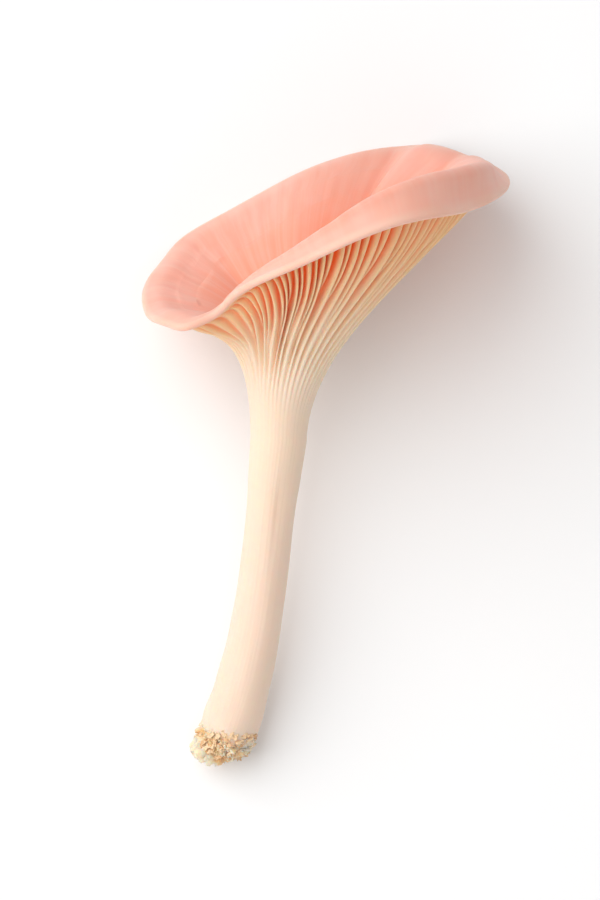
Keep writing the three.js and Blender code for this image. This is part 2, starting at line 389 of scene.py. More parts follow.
    def gill_edge(self, angle: Array, s: Array) -> Array:
        """Points of the gills' edges, which run from the neck over the fold to the margin.

        Args:
            angle: Angles round the mushroom.
            s: Places along the gills, from the neck at 0 to the margin at 1.

        Returns:
            One point for each angle.
        """
        zero = np.zeros_like(angle)
        outward = np.stack([np.cos(angle), np.sin(angle), zero], axis=1)
        up = np.array([0.0, 0.0, 1.0])
        measures = self.margin_at(angle)
        reach, height, fold_in, fold_up, fold_slope, edge_slope, curl = measures.T[:, :, None]

        def heading(slope: Array) -> Array:
            """Direction that rises from outward by a slope in degrees."""
            return outward * np.cos(np.radians(slope)) + up * np.sin(np.radians(slope))

        neck = self.stem_skin(angle, np.ones_like(angle))
        rim = outward * (reach + self.lobes_at(angle)[:, None]) + up * height + (self.cap_middle_x, 0, 0)
        fold = rim - outward * fold_in + up * fold_up

        lean = self.flare_lean * (1 + outward[:, 0])
        rise = self.flare_rise - outward[:, 0]
        start = neck + np.stack([lean * rise, zero, rise], axis=1)
        span = np.linalg.norm(fold - neck, axis=1, keepdims=True)
        end = fold - heading(fold_slope) * (self.fold_reach * span)
        below_fold = bezier(neck, start, end, fold, s / self.fold_at)

        start = fold + heading(fold_slope) * curl
        end = rim - heading(edge_slope) * curl
        over_fold = bezier(fold, start, end, rim, (s - self.fold_at) / (1 - self.fold_at))
        return np.where((s < self.fold_at)[:, None], below_fold, over_fold)

    def gill_normal(self, angle: Array, s: Array) -> Array:
        """Directions out of the gill side.

        Args:
            angle: Angles round the mushroom.
            s: Places along the gills.

        Returns:
            One vector of length 1 for each angle.
        """
        step = 1e-3
        along = self.gill_edge(angle, s + step) - self.gill_edge(angle, s - step)
        around = self.gill_edge(angle + step, s) - self.gill_edge(angle - step, s)
        return unit(np.cross(around, along))

    def thickness(self, angle: Array, s: Array) -> Array:
        """Thickness of flesh and gills together, with more flesh in the right lobe.

        Args:
            angle: Angles round the mushroom.
            s: Places along the gills.

        Returns:
            One thickness for each angle.
        """
        lip = self.lip_gain * (1 - self.lip_gain_span.rise(s))
        neck = self.neck_gain * (1 - self.neck_gain_span.rise(s))
        lobe = self.lobe_gain * self.lobe_gain_at.near_angle(np.degrees(angle))
        filling = self.lobe_fills.rise(s) * (1 - self.lobe_ends.rise(s))
        return self.margin_thickness + lip + neck + lobe * filling

    def upper_skin(self, angle: Array, s: Array) -> Array:
        """Points of the cap's upper skin, opposite the gills."""
        return self.gill_edge(angle, s) - self.gill_normal(angle, s) * self.thickness(angle, s)[:, None]

    def margin_edge(self, angle: Array, q: Array) -> Array:
        """Points of the margin's round edge.

        Args:
            angle: Angles round the mushroom.
            q: Places on the edge, from the gill side at 0 to the upper skin at 1.

        Returns:
            One point for each angle.
        """
        ones = np.ones_like(angle)
        below = self.gill_edge(angle, ones)
        above = self.upper_skin(angle, ones)
        before = self.gill_edge(angle, (1 - self.look_back) * ones)
        outward = unit(below - before) * (self.margin_thickness * self.edge_roundness)
        return bezier(below, below + outward, above + outward, above, q)

    def funnel_floor(self, angle: Array, q: Array) -> Array:
        """Points of the funnel's floor.

        Args:
            angle: Angles round the mushroom.
            q: Places on the floor, from the wall at 0 to the bottom at 1.

        Returns:
            One point for each angle.
        """
        start_at = np.full_like(angle, self.floor_start)
        wall = self.upper_skin(angle, start_at)
        down = unit(self.upper_skin(angle, start_at - self.look_back) - wall)
        bottom = np.tile(self.funnel_bottom, (len(angle), 1))
        span = np.linalg.norm(wall - bottom, axis=1, keepdims=True)
        outward = np.stack([np.cos(angle), np.sin(angle), np.zeros_like(angle)], axis=1)
        start = wall + down * span * self.floor_follows_wall
        end = bottom + outward * span * self.floor_follows_bottom
        return bezier(wall, start, end, bottom, q)

    def raggedness(self, angle: Array, level: float) -> Array:
        """Waves of the torn foot's skin, in millimetres, shifted by a level."""
        waves = np.sin(3 * angle + 1 + level) + 0.8 * np.sin(7 * angle + 2.2 - 2 * level)
        return self.foot_unevenness * waves

    def foot_end(self, angle: Array, q: Array) -> Array:
        """Points of the foot's rounded end.

        Args:
            angle: Angles round the foot.
            q: Places on the end, from its rim at 0 to its lowest point at 1.

        Returns:
            One point for each angle.
        """
        first = self.stem[0]
        slope = q * math.pi / 2
        reach = (first.radius - self.raggedness(angle, 0)) * np.cos(slope)
        drop = (self.foot_depth + self.raggedness(angle, 3) * np.cos(slope)) * np.sin(slope)
        return np.stack([first.x + reach * np.cos(angle), reach * np.sin(angle), first.z - drop], axis=1)


@dataclass
class Wiring:
    """Adds nodes to a tree and links them."""

    tree: Tree

    def add(self, kind: str, **settings: object) -> Node:
        """Adds a node.

        Args:
            kind: Blender's name for the node's type.
            **settings: Properties to set on it.

        Returns:
            The new node.
        """
        node = self.tree.nodes.new(kind)
        for name, value in settings.items():
            setattr(node, name, value)
        return node

    def feed(self, target: Socket, source: object) -> None:
        """Links a socket to a socket, or sets a plain value on it.

        Args:
            target: The input to feed.
            source: A socket, a number, or a colour without its alpha.
        """
        if isinstance(source, Socket):
            self.tree.links.new(source, target)
        elif isinstance(source, tuple) and len(source) == 3 and target.type == "RGBA":
            target.default_value = (*source, 1.0)
        else:
            target.default_value = source

    def attribute(self, name: Attribute) -> Socket:
        """Value of one of the skin's attributes."""
        return self.add("ShaderNodeAttribute", attribute_name=name.value).outputs["Fac"]

    def growth(self) -> Socket:
        """Vector that follows the growth."""
        return self.add("ShaderNodeAttribute", attribute_name=Attribute.GROWTH.value).outputs["Vector"]

    def place(self) -> Socket:
        """Place on the object, in metres."""
        return self.add("ShaderNodeTexCoord").outputs["Object"]

    def calculate(self, operation: str, *values: object) -> Socket:
        """Does a sum on values, with its result kept between 0 and 1.

        Args:
            operation: Blender's name for the sum.
            *values: The values that it takes, in order.

        Returns:
            The result.
        """
        node = self.add("ShaderNodeMath", operation=operation, use_clamp=True)
        for socket, value in zip(node.inputs, values):
            self.feed(socket, value)
        return node.outputs[0]

    def spread(self, value: object, span: Span, to: Pair = (0, 1)) -> Socket:
        """Brings a range of values to another one, with soft ends.

        Args:
            value: What to read.
            span: Values that become the first and the second of `to`.
            to: New range.

        Returns:
            The new value.
        """
        node = self.add("ShaderNodeMapRange", interpolation_type="SMOOTHSTEP")
        self.feed(node.inputs["Value"], value)
        for socket, number in zip(("From Min", "From Max", "To Min", "To Max"), (span.start, span.end, *to)):
            node.inputs[socket].default_value = number
        return node.outputs["Result"]

    def noise(self, place: object, scale: object, detail: float, roughness: float = 0.5) -> Socket:
        """Noise pattern.

        Args:
            place: Vector that it follows.
            scale: Its fineness.
            detail: How many finer layers lie over it.
            roughness: How strong those are.

        Returns:
            The pattern's value.
        """
        node = self.add("ShaderNodeTexNoise")
        values = {"Vector": place, "Scale": scale, "Detail": detail, "Roughness": roughness}
        for socket, value in values.items():
            self.feed(node.inputs[socket], value)
        return node.outputs[0]

    def mix(self, factor: object, first: object, second: object) -> Socket:
        """Mixes two colours.

        Args:
            factor: Share of the second colour.
            first: First colour.
            second: Second colour.

        Returns:
            The mixed colour.
        """
        node = self.add("ShaderNodeMix", data_type="RGBA")
        for number, value in zip(MIX_INPUTS, (factor, first, second)):
            self.feed(node.inputs[number], value)
        return node.outputs[MIX_OUTPUT]

    def group(self, tree: Tree, **values: object) -> Node:
        """Places a node group and feeds its inputs.

        Args:
            tree: The group's tree.
            **values: What feeds each input, by name.

        Returns:
            The group's node.
        """
        node = self.add("ShaderNodeGroup", node_tree=tree)
        for name, value in values.items():
            self.feed(node.inputs[name], value)
        return node


def start_group(name: str, inputs: dict[str, str], outputs: dict[str, str]) -> tuple[Wiring, dict, dict]:
    """Starts a shader node group.

    Args:
        name: The group's name.
        inputs: Socket type of each input, by name.
        outputs: Socket type of each output, by name.

    Returns:
        The group's wiring, its input sockets and its output sockets, by name.
    """
    tree = bpy.data.node_groups.new(name, "ShaderNodeTree")
    for socket, kind in inputs.items():
        tree.interface.new_socket(name=socket, in_out="INPUT", socket_type=kind)
    for socket, kind in outputs.items():
        tree.interface.new_socket(name=socket, in_out="OUTPUT", socket_type=kind)
    wiring = Wiring(tree)
    entry = wiring.add("NodeGroupInput")
    end = wiring.add("NodeGroupOutput")
    entries = {name: entry.outputs[name] for name in inputs}
    ends = {name: end.inputs[name] for name in outputs}
    return wiring, entries, ends


@dataclass(frozen=True)
class Effects:
    """Shader effects that several finishes share."""

    streaks: Tree
    mottle: Tree

    @staticmethod
    def make_streaks() -> Tree:
        """Streaks that run along the growth, fine over coarse."""
        wiring, entry, end = start_group(
            "growth streaks", {"Growth": VECTOR, "Around": FLOAT, "Along": FLOAT}, {"Streak": FLOAT}
        )
        scale = wiring.add("ShaderNodeCombineXYZ")
        for axis, number in zip("XYZ", (entry["Around"], entry["Around"], entry["Along"])):
            wiring.feed(scale.inputs[axis], number)
        stretched = wiring.add("ShaderNodeVectorMath", operation="MULTIPLY")
        wiring.feed(stretched.inputs[0], entry["Growth"])
        wiring.feed(stretched.inputs[1], scale.outputs[0])
        fibres = wiring.noise(stretched.outputs[0], scale=1.0, detail=3.0, roughness=0.6)
        wiring.feed(end["Streak"], wiring.spread(fibres, Span(0.3, 0.7)))
        return wiring.tree

    @staticmethod
    def make_mottle() -> Tree:
        """Soft patches with a fine grain over them."""
        wiring, entry, end = start_group(
            "soft mottle",
            {"Place": VECTOR, "Patches": FLOAT, "Grain": FLOAT},
            {"Patch": FLOAT, "Grain": FLOAT},
        )
        patches = wiring.noise(entry["Place"], entry["Patches"], detail=2.0)
        wiring.feed(end["Patch"], wiring.spread(patches, Span(0.32, 0.68)))
        wiring.feed(end["Grain"], wiring.noise(entry["Place"], entry["Grain"], detail=3.0))
        return wiring.tree

    @classmethod
    def make(cls) -> "Effects":
        """Builds each effect once."""
        return cls(cls.make_streaks(), cls.make_mottle())


@dataclass(frozen=True)
class Translucency:
    """How light soaks into the flesh."""

    weight: float
    depth_mm: float
    radius: Colour = (1.0, 0.45, 0.28)


@dataclass(frozen=True)
class Finish:
    """What the finishes share: the shader's constants, and patterns that each has at its own fineness.

    The streaks have a fineness round the mushroom and one along the growth, and the mottle has one for its
    patches and one for its grain. The relief has a share for the streaks and one for the grain.
    """

    roughness: float
    translucency: Translucency
    sheen: float = 0.0
    sheen_roughness: float = 0.5
    specular: float = 0.35
    streaks: Pair = (16.0, 1.4)
    mottle: Pair = (90.0, 1400.0)
    relief: Pair = (0.6, 0.35)
    relief_mm: float = 0.04

    def shader(self, name: str) -> tuple[Material, Wiring, Node]:
        """Starts a material with its constants set.

        Args:
            name: The material's name.

        Returns:
            The material, its wiring and its shader.
        """
        material = bpy.data.materials.new(name)
        material.use_nodes = True
        wiring = Wiring(material.node_tree)
        shader = material.node_tree.nodes["Principled BSDF"]
        constants = {
            "Roughness": self.roughness,
            "Subsurface Weight": self.translucency.weight,
            "Subsurface Radius": self.translucency.radius,
            "Subsurface Scale": self.translucency.depth_mm * MM,
            "Specular IOR Level": self.specular,
            "Sheen Weight": self.sheen,
            "Sheen Roughness": self.sheen_roughness,
        }
        for socket, value in constants.items():
            shader.inputs[socket].default_value = value
        return material, wiring, shader

    def streak(self, wiring: Wiring, effects: Effects) -> Socket:
        """Places the shared streaks in a material, at this finish's fineness."""
        around, along = self.streaks
        node = wiring.group(effects.streaks, Growth=wiring.growth(), Around=around, Along=along)
        return node.outputs["Streak"]

    def mottled(self, wiring: Wiring, effects: Effects) -> tuple[Socket, Socket]:
        """Places the shared mottle in a material, at this finish's fineness.

        Args:
            wiring: The material's wiring.
            effects: Shared shader effects.

        Returns:
            The patches and the grain.
        """
        patches, grain = self.mottle
        node = wiring.group(effects.mottle, Place=wiring.place(), Patches=patches, Grain=grain)
        return node.outputs["Patch"], node.outputs["Grain"]

    def raise_by(self, wiring: Wiring, shader: Node, height: Socket) -> None:
        """Raises the surface by a height pattern.

        Args:
            wiring: The material's wiring.
            shader: The material's shader.
            height: Pattern from 0 to 1.
        """
        bump = wiring.add("ShaderNodeBump")
        wiring.feed(bump.inputs["Height"], height)
        bump.inputs["Distance"].default_value = self.relief_mm * MM
        wiring.feed(shader.inputs["Normal"], bump.outputs["Normal"])

    def raise_fibres(self, wiring: Wiring, shader: Node, streak: object, grain: object) -> None:
        """Raises the surface by streaks and grain together.

        Args:
            wiring: The material's wiring.
            shader: The material's shader.
            streak: The streaks.
            grain: The grain.
        """
        streak_share, grain_share = self.relief
        grain = wiring.calculate("MULTIPLY", grain, grain_share)
        self.raise_by(wiring, shader, wiring.calculate("MULTIPLY_ADD", streak, streak_share, grain))


@dataclass(frozen=True)
class CapSkin(Finish):
    """Satin salmon-pink skin of the cap, with a painted highlight on the margin's edge, deeper down the
    funnel.
    """

    roughness: float = 0.52
    translucency: Translucency = Translucency(0.35, 1.2)
    sheen: float = 0.12
    # The edge colour is a painted highlight along the margin's rim, lighter than the lip's pink.
    edge: Colour = (0.98, 0.59, 0.46)
    lip: Colour = (0.98, 0.50, 0.39)
    lip_from: Span = Span(0.0, 0.04)
    rim: Colour = (0.95, 0.42, 0.32)
    rim_from: Span = Span(0.04, 0.26)
    # Deeper orange down the funnel: partly the skin's own tone, partly painted shade of the hollow.
    deep_tone_and_shade: Colour = (0.96, 0.28, 0.13)
    deep_tone_and_shade_from: Span = Span(0.5, 0.98)
    patch_share: float = 0.14
    pale_streak: Colour = (0.98, 0.60, 0.49)
    streak_share: float = 0.35

    def make(self, effects: Effects) -> Material:
        """Builds the material.

        Args:
            effects: Shared shader effects.

        Returns:
            The material.
        """
        material, wiring, shader = self.shader("cap skin")
        depth = wiring.attribute(Attribute.DEEP)
        streak = self.streak(wiring, effects)
        patch, grain = self.mottled(wiring, effects)
        # Painted highlight on the margin's round edge, fading into the lip's pink.
        pink = wiring.mix(wiring.spread(depth, self.lip_from), self.edge, self.lip)
        pink = wiring.mix(wiring.spread(depth, self.rim_from), pink, self.rim)
        # Painted shade of the funnel's hollow, mixed with its deeper tone.
        pink = wiring.mix(wiring.spread(depth, self.deep_tone_and_shade_from), pink, self.deep_tone_and_shade)
        pink = wiring.mix(wiring.calculate("MULTIPLY", streak, self.streak_share), pink, self.pale_streak)
        pink = wiring.mix(wiring.spread(patch, Span(0.0, 1.0), (0.0, self.patch_share)), pink, self.deep_tone_and_shade)
        wiring.feed(shader.inputs["Base Color"], pink)
        self.raise_fibres(wiring, shader, streak, grain)
        return material


@dataclass(frozen=True)
class PaleFlesh(Finish):
    """Cream stem and gill flesh, with orange gill valleys and a stained foot, both partly painted shade."""

    roughness: float = 0.56
    translucency: Translucency = Translucency(0.5, 2.6)
    sheen: float = 0.08
    streaks: Pair = (11.0, 2.2)
    mottle: Pair = (260.0, 1800.0)
    relief: Pair = (0.5, 0.4)
    relief_mm: float = 0.05
    stem: Colour = (0.93, 0.71, 0.56)
    neck: Colour = (0.95, 0.74, 0.57)
    neck_from: Span = Span(-0.4, 0.1)
    fibre: Colour = (0.86, 0.66, 0.52)
    fibre_share: float = 0.25
    crest: Colour = (0.96, 0.57, 0.31)
    crest_from: Span = Span(0.15, 0.7)
    # Valley colours: partly the gills' own orange, partly painted shade between the gills, darkest by the
    # lip.
    valley_tone_and_shade_at_neck: Colour = (0.96, 0.66, 0.40)
    valley_tone_and_shade_at_lip: Colour = (0.97, 0.16, 0.015)
    valley_from: Span = Span(0.25, 0.65)
    valleys_show: Span = Span(0.1, 0.52)
    valley_height: Span = Span(0.9, 0.1)
    bruise: Colour = (0.66, 0.45, 0.30)
    bruise_share: float = 0.2
    foot: Colour = (0.95, 0.77, 0.56)
    tan: Colour = (0.82, 0.50, 0.24)
    tan_patches: Span = Span(0.45, 0.9)
    # Brown at the foot's low places: partly real stain, partly painted shade in its crevices.
    stain_and_crevice_shade: Colour = (0.52, 0.22, 0.06)
    stain_and_shade_height: Span = Span(0.45, 0.02)

    def make(self, effects: Effects) -> Material:
        """Builds the material.

        Args:
            effects: Shared shader effects.

        Returns:
            The material.
        """
        material, wiring, shader = self.shader("pale flesh")
        outward = wiring.attribute(Attribute.OUTWARD)
        gill = wiring.attribute(Attribute.GILL)
        torn = wiring.attribute(Attribute.TORN)
        bruise = wiring.attribute(Attribute.BRUISE)
        streak = self.streak(wiring, effects)
        patch, grain = self.mottled(wiring, effects)

        flesh = wiring.mix(wiring.spread(outward, self.neck_from), self.stem, self.neck)
        flesh = wiring.mix(wiring.calculate("MULTIPLY", streak, self.fibre_share), flesh, self.fibre)
        crest = wiring.mix(wiring.spread(outward, self.crest_from), flesh, self.crest)
        # Painted shade between the gills, darker toward the lip, over their orange tone.
        valley = wiring.mix(wiring.spread(outward, self.valley_from), self.valley_tone_and_shade_at_neck, self.valley_tone_and_shade_at_lip)
        on_gills = wiring.spread(outward, self.valleys_show)
        lowness = wiring.spread(gill, self.valley_height)
        flesh = wiring.mix(wiring.calculate("MULTIPLY", on_gills, lowness), crest, valley)
        flesh = wiring.mix(wiring.calculate("MULTIPLY", bruise, self.bruise_share), flesh, self.bruise)
        foot = wiring.mix(wiring.spread(patch, self.tan_patches), self.foot, self.tan)
        # Crevices of the torn foot darken: real stain with painted shade.
        foot = wiring.mix(wiring.spread(gill, self.stain_and_shade_height), foot, self.stain_and_crevice_shade)
        wiring.feed(shader.inputs["Base Color"], wiring.mix(torn, flesh, foot))
        self.raise_fibres(wiring, shader, streak, grain)
        return material


@dataclass(frozen=True)
class Crumb(Finish):
    """Dry crumbs and shreds of the torn foot, from off-white to orange tan."""

    roughness: float = 0.8
    translucency: Translucency = Translucency(0.08, 0.4)
    specular: float = 0.2
    mottle: Pair = (700.0, 2600.0)
    relief_mm: float = 0.15
    pale: Colour = (0.98, 0.72, 0.46)
    tan: Colour = (0.93, 0.53, 0.24)
    tan_tints: Span = Span(0.35, 0.9)
    brown: Colour = (0.66, 0.30, 0.09)
    brown_patches: Span = Span(0.55, 1.0)
    brown_share: float = 0.5

    def make(self, effects: Effects) -> Material:
        """Builds the material.

        Args:
            effects: Shared shader effects.

        Returns:
            The material.
        """
        material, wiring, shader = self.shader("torn crumbs")
        tint = wiring.attribute(Attribute.TINT)
        patch, grain = self.mottled(wiring, effects)
        colour = wiring.mix(wiring.spread(tint, self.tan_tints), self.pale, self.tan)
        stained = wiring.spread(patch, self.brown_patches, (0.0, self.brown_share))
        wiring.feed(shader.inputs["Base Color"], wiring.mix(stained, colour, self.brown))
        self.raise_by(wiring, shader, grain)
        return material


@dataclass(frozen=True)
class Band:
    """Rows of the skin between two places of one of its parts."""

    part: Part
    start: float
    end: float
    rows: int
    halvings: int


@dataclass
class Skin:
    """The mushroom's whole skin: stem, gills, margin and funnel."""

    form: MushroomForm
    columns: int = 96
    bands: tuple[Band, ...] = (
        Band(Part.FOOT, 1.0, 0.0, 24, 1),
        Band(Part.STEM, 0.0, 0.14, 48, 1),
        Band(Part.STEM, 0.14, 0.7, 44, 1),
        Band(Part.STEM, 0.7, 1.0, 16, 2),
        Band(Part.GILLS, 0.0, 0.2, 9, 2),
        Band(Part.GILLS, 0.2, 1.0, 46, 3),
        Band(Part.EDGE, 0.0, 1.0, 6, 3),
        Band(Part.UPPER, 1.0, 0.6, 58, 2),
        Band(Part.FLOOR, 0.0, 1.0, 24, 1),
    )

    rib_depth: float = 0.02
    gill_depth: float = 2.1
    gills_deepen: Span = Span(0.06, 0.48)
    gills_end: Span = Span(0.74, 0.98)
    gill_unevenness: float = 0.18
    rib_half_width: float = 0.74
    gill_half_width: float = 0.36
    gills_narrow: Span = Span(0.1, 0.6)
    ridge_power: float = 3.0
    short_from: float = 0.36
    short_spread: float = 0.12
    short_length: float = 0.22
    short_width: float = 0.85
    short_height: float = 0.9
    short_lean: float = 0.42
    lean_from: Span = Span(0.1, 0.3)
    lean_length: float = 0.4
    notch: Place = Place(214.0, 28.0)
    notch_shallowness: float = 0.7
    ribs: Span = Span(0.88, 1.0)
    crowding: float = 1.1
    free_from: Span = Span(0.0, 0.35)
    free_until: Span = Span(0.85, 1.0)
    wander: Ripple = Ripple(0.5, 5.0, 2.6)
    flutter: float = 0.04
    flutter_waves: float = 22.0
    bow: float = 2.8
    bow_from: float = 0.12
    bow_at: Place = Place(244.0, 28.0)
    pale_gills: float = 0.5
    pale_gills_at: Place = Place(232.0, 26.0)

    stem_smooth: Span = Span(0.85, 1.0)
    fibres: Ripple = Ripple(0.03, 9.0, 3.0)
    dents: Ripple = Ripple(0.28, 1.1, 7.0, 5.0)
    bruise_round: Place = Place(284.0, 7.0)
    bruise_along: Place = Place(0.82, 0.09)
    bruise_depth: float = 0.1

    torn_height: float = 2.9
    torn_edge: Ripple = Ripple(1.2, 2.5, 0.2, 2.0)
    torn_fade: Span = Span(-1.3, 1.3)
    ragged_side: Place = Place(196.0, 60.0)
    ragged_height: float = 4.0
    ragged_reach: float = 1.3
    ragged_below: float = 4.5
    crumb_depth: float = 1.7
    crumb_middle: float = 0.4
    crumbs: tuple[Pair, ...] = ((0.9, 1.5), (2.3, 1.0))

    edge_smooth: Span = Span(0.93, 1.0)
    wrinkles: Ripple = Ripple(0.3, 9.0, 2.2, 3.0)
    fine_wrinkles: Ripple = Ripple(0.135, 15.0, 2.6, 8.0)
    folds: Ripple = Ripple(0.35, 2.6, 2.0, 1.0)
    lip_side: Span = Span(0.2, 0.9)
    lip_from_left: Span = Span(-0.7, 0.0)
    lip_calm: float = 0.75
    calm: float = 0.7
    calm_at: Place = Place(205.0, 28.0)

    foot_growth: float = 0.1
    edge_growth: float = 0.05
    floor_growth: float = 0.4
    wall_depth: float = 0.64

    def rows_of(self, row: Array) -> tuple[Array, Array]:
        """Where each row lies.

        Args:
            row: Row numbers.

        Returns:
            The band number of each row and its place on that band's part.
        """
        firsts = np.cumsum([0] + [band.rows for band in self.bands])
        number = np.clip(np.searchsorted(firsts, row, side="right") - 1, 0, len(self.bands) - 1)
        starts = np.array([band.start for band in self.bands])[number]
        ends = np.array([band.end for band in self.bands])[number]
        share = (row - firsts[number]) / (firsts[number + 1] - firsts[number])
        return number, starts + (ends - starts) * share

    def sheet(self) -> Mesh:
        """A flat sheet whose x counts columns and whose y counts rows.

        Returns:
            The sheet, with its columns halved as often as each band says.
        """
        rows = sum(band.rows for band in self.bands)
        slack = 0.1
        sheet = bmesh.new()
        to_count = Matrix.Diagonal((self.columns, rows, 1, 1)) @ Matrix.Translation((0.5, 0.5, 0))
        bmesh.ops.create_grid(sheet, x_segments=self.columns, y_segments=rows, size=0.5, matrix=to_count)
        for level in range(1, 1 + max(band.halvings for band in self.bands)):
            fine, first = [], 0
            for band in self.bands:
                if band.halvings >= level:
                    fine.append((first - slack, first + band.rows + slack))
                first += band.rows
            across = [
                edge for edge in sheet.edges
                if abs(edge.verts[0].co.y - edge.verts[1].co.y) < slack
                and any(low < edge.verts[0].co.y < high for low, high in fine)
            ]
            bmesh.ops.subdivide_edges(sheet, edges=across, cuts=1)
        return sheet

    def short_start(self, gill: Array) -> Array:
        """Where each short gill starts."""
        return self.short_from + self.short_spread * vary(gill, 1.9)

    def gill_angle(self, column: Array, s: Array) -> Array:
        """Angle of each column, with the gills' wander and bow, and the lean of the short gills.

        Args:
            column: Column of each place.
            s: Place of each along the gills.

        Returns:
            The angles.
        """
        angle = column / self.columns * math.tau
        free = self.free_from.rise(s) * (1 - self.free_until.rise(s))
        wander = self.wander.at(angle, s) * free
        gill = np.floor(column / 2)
        nearness = Span(0.0, 1.0).rise(1 - np.abs((column % 2) - 1))
        joined = 1 - np.clip((s - self.short_start(gill)) / self.lean_length, 0, 1)
        side = np.sign(vary(gill, 2.3, 0.4))
        lean = self.short_lean * side * nearness * joined * self.lean_from.rise(s)
        flutter = self.flutter * np.sin(s * self.flutter_waves + column * 2.1) * vary(column, 1.3) * free
        arch = np.sin(math.pi * np.clip((s - self.bow_from) / (1 - self.bow_from), 0, 1))
        bow = self.bow * self.bow_at.near(np.degrees(angle)) * arch
        return (column + wander + lean + flutter + bow) / self.columns * math.tau

    def gill_height(self, column: Array, s: Array) -> Array:
        """How high each place stands between the valley at 0 and the gills' edges at 1.

        Args:
            column: Column of each place.
            s: Place of each along the gills.

        Returns:
            The heights.
        """
        gill = np.floor(column / 2)
        width = self.rib_half_width + (self.gill_half_width - self.rib_half_width) * self.gills_narrow.rise(s)
        from_full = np.minimum(column % 2, 2 - column % 2)
        full = np.exp(-((from_full / width) ** self.ridge_power))
        length = np.clip((s - self.short_start(gill)) / self.short_length, 0, 1)
        short = np.exp(-(((1 - from_full) / (self.short_width * width)) ** self.ridge_power))
        return np.clip(full + short * length * (2 - length) * self.short_height, 0, 1)

    def gill_depth_at(self, column: Array, s: Array) -> Array:
        """How deep the valleys are.

        Args:
            column: Column of each place.
            s: Place of each along the gills.

        Returns:
            The depths in millimetres.
        """
        full = self.rib_depth + (self.gill_depth - self.rib_depth) * self.gills_deepen.rise(s)
        shallow = 1 - self.notch_shallowness * self.notch.near(column / self.columns * 360)
        gill = np.round(column / 2)
        uneven = 1 + self.gill_unevenness * vary(gill, 2.4) * vary(gill, 0.7, 1.0)
        return full * (1 - self.gills_end.rise(s)) * shallow * uneven

    def gills(self, column: Array, s: Array) -> tuple[Array, Array]:
        """Lays places on the gill side.

        Args:
            column: Column of each place.
            s: Place of each along the gills.

        Returns:
            The points, and how high each stands.
        """
        angle = self.gill_angle(column, s)
        height = self.gill_height(column, s)
        drop = (1 - height) * self.gill_depth_at(column, s)
        normal = self.form.gill_normal(angle, s)
        # Paler gills here also thin the painted shade in their valleys.
        paler = self.pale_gills * self.pale_gills_at.near(np.degrees(angle))
        return self.form.gill_edge(angle, s) - normal * drop[:, None], 1 - (1 - height) * (1 - paler)

    def stem(self, column: Array, t: Array) -> tuple[Array, Array]:
        """Lays places on the stem, with its ribs, fibres and ragged foot.

        Args:
            column: Column of each place.
            t: Place of each along the stem.

        Returns:
            The points, and how high each stands.
        """
        angle = column / self.columns * math.tau
        height = self.gill_height(column, np.zeros_like(t))
        ragged = 1 - self.form.foot_ends.rise(t)
        loose = 1 - self.stem_smooth.rise(t)
        inset = self.rib_depth * self.ribs.rise(t) * (1 - height) + ragged * self.form.raggedness(angle, 0)
        inset += (self.fibres.at(angle, t) + self.dents.at(angle, t)) * loose
        inset += self.bruise_depth * self.bruise(angle, t)
        return self.form.stem_skin(angle, t, inset), height

    def bruise(self, angle: Array, t: Array) -> Array:
        """A small brownish dent on the near side of the stem, 1 at its middle."""
        return self.bruise_round.near(np.degrees(angle)) * self.bruise_along.near(t)

    def torn(self, points: Array, angle: Array, slope: Array) -> tuple[Array, Array, Array]:
        """Breaks the foot's skin up into crumbs, highest up on its ragged side.

        Args:
            points: Points of the foot's whole skin.
            angle: Angle of each point.
            slope: How far the skin at each point has turned from the stem's side towards the foot's end.

        Returns:
            The points, how torn each is, and how high it stands, from the crevices at 0 to the crumbs at 1.
        """
        side = self.ragged_side.near(np.degrees(angle))
        height = points[:, 2]
        edge = self.torn_height + self.ragged_height * side + self.torn_edge.at(angle, height)
        torn = 1 - self.torn_fade.rise(height - edge)
        lump = np.array([
            sum(share * abs(noise.noise(place * fineness)) for fineness, share in self.crumbs)
            for place in map(Vector, points)
        ])
        lump = np.clip(lump, 0, 1)
        out = np.stack([np.cos(angle) * np.cos(slope), np.sin(angle) * np.cos(slope), -np.sin(slope)], axis=1)
        lowness = np.clip(1 - height / self.ragged_below, 0, 1)
        reach = self.crumb_depth * (lump - self.crumb_middle) + self.ragged_reach * side * lowness
        return points + out * (torn * reach)[:, None], torn, lump

    def upper(self, column: Array, s: Array) -> Array:
        """Lays places on the cap's upper skin, with its wrinkles.

        Args:
            column: Column of each place.
            s: Place of each, as on the gills.

        Returns:
            The points.
        """
        angle = column / self.columns * math.tau
        lip = self.lip_side.rise(-np.sin(angle)) * self.lip_from_left.rise(np.cos(angle))
        still = self.calm * self.calm_at.near(np.degrees(angle))
        lift = self.wrinkles.at(angle, s) + self.fine_wrinkles.at(angle, s) + self.folds.at(angle, s)
        lift *= (1 - self.edge_smooth.rise(s)) * (1 - self.lip_calm * lip) * (1 - still)
        return self.form.upper_skin(angle, s) - self.form.gill_normal(angle, s) * lift[:, None]

